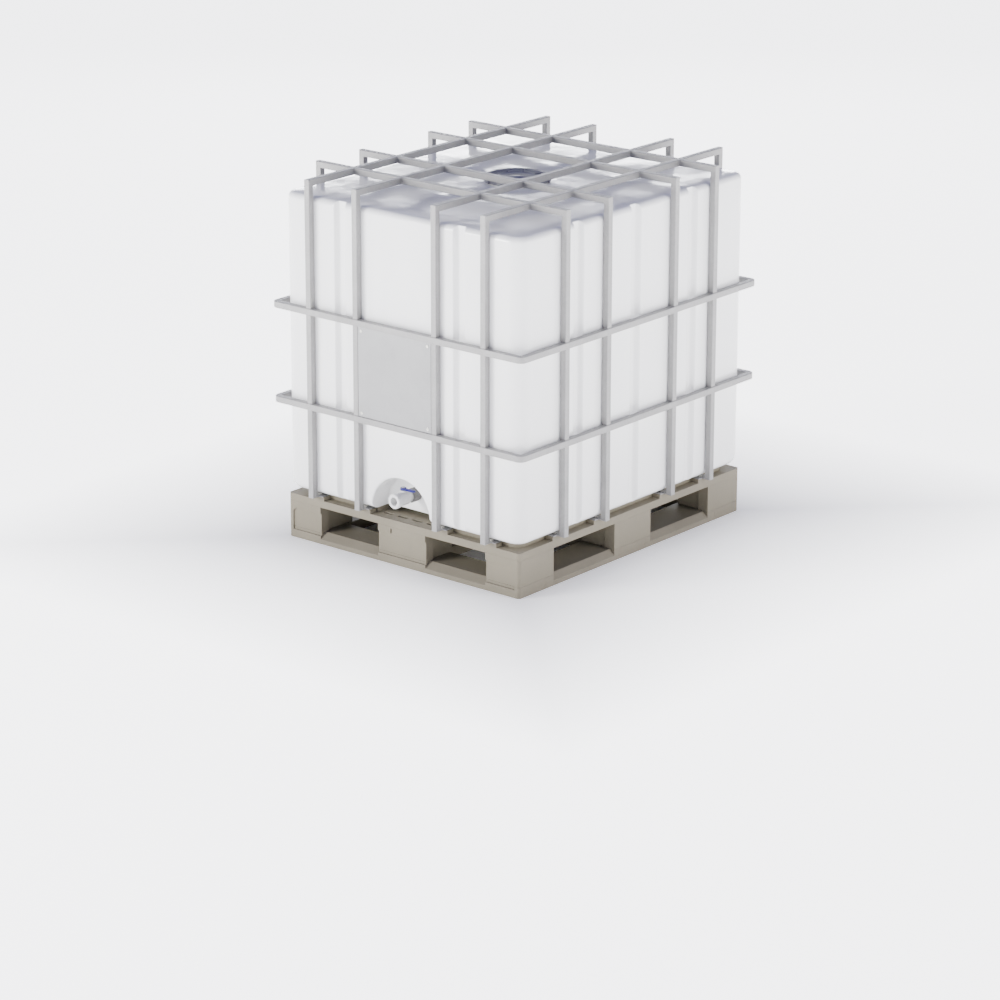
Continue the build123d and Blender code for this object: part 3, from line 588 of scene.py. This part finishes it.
def make_welds():
    """Beads at every crossing of tubes and at the foot of every post."""
    parts = []
    size = bead(15 * MM, 3.6 * MM, 1.7 * MM)
    turn_y = Matrix.Rotation(math.radians(90), 4, "Z")
    cross_y = [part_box(f"top_bar_cross_{n}") for n in range(1, 5)]
    long_x = [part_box(f"top_bar_long_{n}") for n in range(1, 5)]
    for cross_low, cross_high in cross_y:
        for long_low, long_high in long_x:
            for y in (cross_low.y, cross_high.y):
                for side_x in (long_low.x, long_high.x):
                    upright = Matrix.Translation((side_x, y, cross_high.z - HALF_TUBE)) @ \
                        Matrix.Rotation(math.radians(90), 4, "Y")
                    parts.append(transformed(size, upright))
    for side in ("front", "rear", "left", "right"):
        for number in range(1, 5):
            low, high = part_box(f"post_{side}_{number}")
            middle = (low + high) / 2
            for level in ("upper", "lower"):
                ring_low, ring_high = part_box(f"ring_{level}_{side}")
                for z in (ring_low.z, ring_high.z):
                    if side in ("front", "rear"):
                        y = low.y if side == "front" else high.y
                        spot = Matrix.Translation((middle.x, y, z))
                        parts.append(transformed(size, spot))
                    else:
                        x = low.x if side == "left" else high.x
                        spot = Matrix.Translation((x, middle.y, z)) @ turn_y
                        parts.append(transformed(size, spot))
            for offset in (-HALF_TUBE, HALF_TUBE):
                if side in ("front", "rear"):
                    spot = Matrix.Translation((middle.x + offset, middle.y, low.z)) @ turn_y
                else:
                    spot = Matrix.Translation((middle.x, middle.y + offset, low.z))
                parts.append(transformed(size, spot))
    welds = new_object("cage_weld_beads", *join(parts), MATERIALS["tube_steel"], "container", 60.0)


# ---- valve ----------------------------------------------------------------------------------
VALVE_Z = 225 * MM
BALL_Y = -560 * MM
FLANGE_FACE = -519 * MM
BOSS_TOP = 252 * MM
THREAD_TURNS = 6
THREAD_PITCH = 2.31
NUT_RIBS = 10


def make_valve_body():
    """Outlet with a rounded pipe thread, barrel, cone, neck and flange, all hollow, and the stem's boss."""
    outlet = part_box("valve_body")[0].y
    profile = [(13.5 * MM, outlet + 1.0 * MM), (14.5 * MM, outlet)]
    profile += [(21.6 * MM, outlet), (22.6 * MM, outlet + 0.8 * MM)]
    for turn in range(THREAD_TURNS):
        start = outlet + (1.4 + turn * THREAD_PITCH) * MM
        profile += [(22.5 * MM, start), (23.8 * MM, start + 0.8 * MM), (23.8 * MM, start + 1.3 * MM),
                    (22.5 * MM, start + 2.1 * MM)]
    profile += [(22.2 * MM, -590.6 * MM), (21.5 * MM, -589.4 * MM), (21.5 * MM, -545.5 * MM)]
    profile += [(20.9 * MM, -544.0 * MM), (16.3 * MM, -534.8 * MM), (15.8 * MM, -533.6 * MM)]
    profile += [(15.8 * MM, FLANGE_FACE - 4.6 * MM), (17.4 * MM, FLANGE_FACE - 4.5 * MM)]
    profile += [(17.9 * MM, FLANGE_FACE - 4.0 * MM), (17.9 * MM, FLANGE_FACE - 0.5 * MM)]
    profile += [(17.4 * MM, FLANGE_FACE)]
    profile += [(14.3 * MM, FLANGE_FACE), (14.3 * MM, -580 * MM), (13.5 * MM, -580 * MM)]
    parts = [lathe(profile, 96, Vector((0, 0, VALVE_Z)), "Y")]
    boss = [(7.8 * MM, BOSS_TOP - 4 * MM), (7.8 * MM, BOSS_TOP - 0.4 * MM), (8.2 * MM, BOSS_TOP)]
    boss += rounded(1.2 * MM, 8.8 * MM, BOSS_TOP - 1.2 * MM, 90, 0, 4)
    boss += [(10 * MM, VALVE_Z + 21 * MM), (11.5 * MM, VALVE_Z + 18.4 * MM), (5.06 * MM, VALVE_Z + 17.6 * MM)]
    boss += [(5.06 * MM, BOSS_TOP - 4 * MM)]
    parts.append(lathe(list(reversed(boss)), 64, Vector((0, BALL_Y, 0))))
    for y in (-586 * MM, -549 * MM):
        collar = [(21.2 * MM, y - 1.6 * MM), (22.2 * MM, y - 1.0 * MM), (22.2 * MM, y + 1.0 * MM),
                  (21.2 * MM, y + 1.6 * MM)]
        parts.append(lathe(collar, 96, Vector((0, 0, VALVE_Z)), "Y"))
    body = new_object("valve_body_moulding", *join(parts), MATERIALS["valve_plastic"], "container", 38.0)
    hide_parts("valve_body")


def make_union_nut():
    """The nut that holds the valve on the spout, with grip ribs along it."""
    low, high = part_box("valve_union_nut")
    profile = [(16.2 * MM, low.y + 0.4 * MM), (16.6 * MM, low.y)]
    profile += [(20.6 * MM, low.y), (21.4 * MM, low.y + 0.8 * MM), (21.4 * MM, high.y - 0.8 * MM)]
    profile += [(20.6 * MM, high.y), (18.4 * MM, high.y)]
    profile += [(18.3 * MM, low.y + 5.2 * MM), (16.2 * MM, low.y + 5.2 * MM)]
    parts = [lathe(profile, 80, Vector((0, 0, VALVE_Z)), "Y")]
    for number in range(NUT_RIBS):
        angle = math.radians(360 * number / NUT_RIBS)
        turn = Matrix.Translation((0, 0, VALVE_Z)) @ Matrix.Rotation(angle, 4, "Y")
        rib_low = (19.5 * MM, low.y + 0.4 * MM, -2.8 * MM)
        rib = box_part(rib_low, (22.4 * MM, high.y - 0.4 * MM, 2.8 * MM), 0.9 * MM)
        parts.append(transformed(rib, turn))
    nut = new_object("valve_union_nut_moulding", *join(parts), MATERIALS["nut_plastic"], "container", 38.0)
    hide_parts("valve_union_nut")


def lever_arm(width_root, width_tip, start, end, z_low, z_high, bevel):
    """A bar along X with a round tip, its tip and long edges cut back at the top and bottom."""
    radius = width_tip / 2
    points = []
    for angle in np.linspace(-90, 90, 13):
        a = math.radians(angle)
        points.append((end - radius + radius * math.cos(a), radius * math.sin(a)))
    points += [(start, width_root / 2), (start, -width_root / 2)]
    verts = []
    levels = ((z_low, bevel), (z_low + bevel, 0.0), (z_high - bevel, 0.0), (z_high, bevel))
    for z, inset in levels:
        for x, y in points:
            in_tip = x > start + 1e-6 and x > end - radius - 1e-6
            narrow = 1 - inset / (abs(y) + 1e-4) if abs(y) > inset else 1
            verts.append(Vector((x - (inset if in_tip else 0), y * narrow, z)) + Vector((0, BALL_Y, 0)))
    count = len(points)
    faces = ring_faces(len(levels), count)
    faces.append(tuple(reversed(range(count))))
    faces.append(tuple(range((len(levels) - 1) * count, len(levels) * count)))
    return verts, faces


def make_lever():
    """A blue lever: round hub, tapered arm with a raised rib and a rounded tip."""
    low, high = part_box("valve_lever")
    base = low.z
    top = high.z
    reach = high.x
    socket = 3.6 * MM * 1.45
    hub = [(socket, base), (9.2 * MM, base), (9.9 * MM, base + 0.7 * MM), (9.9 * MM, top - 1.2 * MM)]
    hub += rounded(1.2 * MM, 8.7 * MM, top - 1.2 * MM, 0, 90, 4)
    hub += [(5.9 * MM, top), (5.4 * MM, top - 0.5 * MM), (5.4 * MM, top - 3 * MM), (socket, top - 3 * MM)]
    parts = [lathe(hub, 64, Vector((0, BALL_Y, 0)))]
    parts.append(lever_arm(13 * MM, 15.6 * MM, 7 * MM, reach - 0.2 * MM,
                           base + 1.2 * MM, top - 2.4 * MM, 0.8 * MM))
    parts.append(lever_arm(2.2 * MM, 3.0 * MM, 8 * MM, reach - 8 * MM,
                           top - 2.6 * MM, top - 1.1 * MM, 0.5 * MM))
    lever = new_object("valve_lever_moulding", *join(parts), MATERIALS["lever_plastic"],
                       "valve_lever_and_ball", 38.0)
    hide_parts("valve_lever")


# ---- stage ----------------------------------------------------------------------------------
AZIMUTH = math.radians(39.6)
ELEVATION = math.radians(18.26)
CAMERA_PLACE = Vector((7.4728, -9.1159, 3.9668))
CAMERA_LENS = 136.78
CAMERA_ROLL = math.radians(0.09)


def make_camera():
    camera = bpy.data.objects.new("camera", bpy.data.cameras.new("camera"))
    bpy.context.scene.collection.objects.link(camera)
    back = Vector((math.sin(AZIMUTH) * math.cos(ELEVATION), -math.cos(AZIMUTH) * math.cos(ELEVATION),
                   math.sin(ELEVATION)))
    right = Vector((math.cos(AZIMUTH), math.sin(AZIMUTH), 0))
    up = back.cross(right)
    across = right * math.cos(CAMERA_ROLL) + up * math.sin(CAMERA_ROLL)
    rise = up * math.cos(CAMERA_ROLL) - right * math.sin(CAMERA_ROLL)
    turned = Matrix((across, rise, back)).transposed().to_4x4()
    camera.matrix_world = Matrix.Translation(CAMERA_PLACE) @ turned
    camera.data.sensor_width = 36.0
    camera.data.lens = CAMERA_LENS
    camera.data.clip_start = 0.5
    camera.data.clip_end = 200.0
    bpy.context.scene.camera = camera


def area_light(name, place, target, width, height, power, colour):
    data = bpy.data.lights.new(name, "AREA")
    data.shape = "RECTANGLE"
    data.size = width
    data.size_y = height
    data.energy = power
    data.color = colour
    light = bpy.data.objects.new(name, data)
    bpy.context.scene.collection.objects.link(light)
    light.location = place
    light.rotation_mode = "QUATERNION"
    light.rotation_quaternion = (Vector(target) - Vector(place)).to_track_quat("-Z", "Y")


def floor_glow_with_painted_shadow(tree, place):
    """The floor's glow, which fades out under the pallet and for a stretch round it: a painted shadow round
    the base that keeps its pockets dark.
    """
    low, high = LOADED_BOUNDS
    split = tree.nodes.new("ShaderNodeSeparateXYZ")
    tree.links.new(place.outputs["Object"], split.inputs["Vector"])
    reach = []
    for axis, half in (("X", high[0]), ("Y", high[1])):
        size = tree.nodes.new("ShaderNodeMath")
        size.operation = "ABSOLUTE"
        tree.links.new(split.outputs[axis], size.inputs[0])
        past = tree.nodes.new("ShaderNodeMath")
        past.operation = "SUBTRACT"
        tree.links.new(size.outputs[0], past.inputs[0])
        past.inputs[1].default_value = half
        reach.append(past)
    outer = tree.nodes.new("ShaderNodeMath")
    outer.operation = "MAXIMUM"
    tree.links.new(reach[0].outputs[0], outer.inputs[0])
    tree.links.new(reach[1].outputs[0], outer.inputs[1])
    return remap(tree, outer.outputs[0], 0.0, FLOOR_GLOW, *PAINTED_SHADOW_FADE)


def make_floor():
    material, tree, shader, place = node_material("studio_floor")
    tone = add_noise(tree, place, 0.8, 3.0)
    colour = mix_colour(tree, remap(tree, tone, 0.0, 1.0), (0.86, 0.86, 0.86), (0.90, 0.90, 0.90))
    tree.links.new(colour, shader.inputs["Base Color"])
    shader.inputs["Roughness"].default_value = 0.9
    shader.inputs["Specular IOR Level"].default_value = 0.1
    shader.inputs["Emission Color"].default_value = (1.0, 1.0, 1.0, 1.0)
    # floor emission, cut back under and round the pallet as a painted shadow
    glow = floor_glow_with_painted_shadow(tree, place)
    tree.links.new(glow, shader.inputs["Emission Strength"])
    size = 60.0
    verts = [(-size, -size, 0), (size, -size, 0), (size, size, 0), (-size, size, 0)]
    floor = new_object("studio_floor", verts, [(0, 1, 2, 3)], material, ride=False)


def make_world():
    """A soft studio: white round the horizon and a dim, cool ceiling."""
    world = bpy.data.worlds.new("studio")
    bpy.context.scene.world = world
    world.use_nodes = True
    tree = world.node_tree
    tree.nodes.clear()
    out = tree.nodes.new("ShaderNodeOutputWorld")
    shader = tree.nodes.new("ShaderNodeBackground")
    place = tree.nodes.new("ShaderNodeTexCoord")
    split = tree.nodes.new("ShaderNodeSeparateXYZ")
    ramp = tree.nodes.new("ShaderNodeValToRGB")
    tree.links.new(place.outputs["Generated"], split.inputs["Vector"])
    tree.links.new(split.outputs["Z"], ramp.inputs["Fac"])
    tree.links.new(ramp.outputs["Color"], shader.inputs["Color"])
    tree.links.new(shader.outputs["Background"], out.inputs["Surface"])
    ramp.color_ramp.elements[0].position = 0.12
    ramp.color_ramp.elements[0].color = (1.0, 1.0, 1.0, 1.0)
    ramp.color_ramp.elements[1].position = 0.42
    ramp.color_ramp.elements[1].color = (*CEILING, 1.0)
    shader.inputs["Strength"].default_value = WORLD


WORLD = 2.3
CEILING = (0.062, 0.066, 0.180)
FLOOR_GLOW = 4.2
# painted shadow round the pallet: the glow rises from nothing 0.14 m inside its footprint to full 0.9 m
# outside it
PAINTED_SHADOW_FADE = (-0.14, 0.90)


def make_lights():
    """A soft key from the front left, a weaker one from the right, and a low strip behind."""
    area_light("front_soft", (-3.6, -7.0, 2.6), (0, 0, 0.6), 2.6, 2.4, 900.0, (1.0, 0.995, 0.98))
    area_light("right_soft", (7.2, 1.6, 2.4), (0, 0, 0.6), 3.0, 2.4, 420.0, (1.0, 0.99, 0.97))
    area_light("rear_strip", (-4.6, 5.6, 2.5), (0, 0, 1.0), 5.0, 0.5, 160.0, (0.96, 0.97, 1.0))


dress_cad_nodes()
make_bottle()
make_lid()
make_welds()
make_valve_body()
make_union_nut()
make_lever()
make_floor()
make_world()
make_lights()
make_camera()
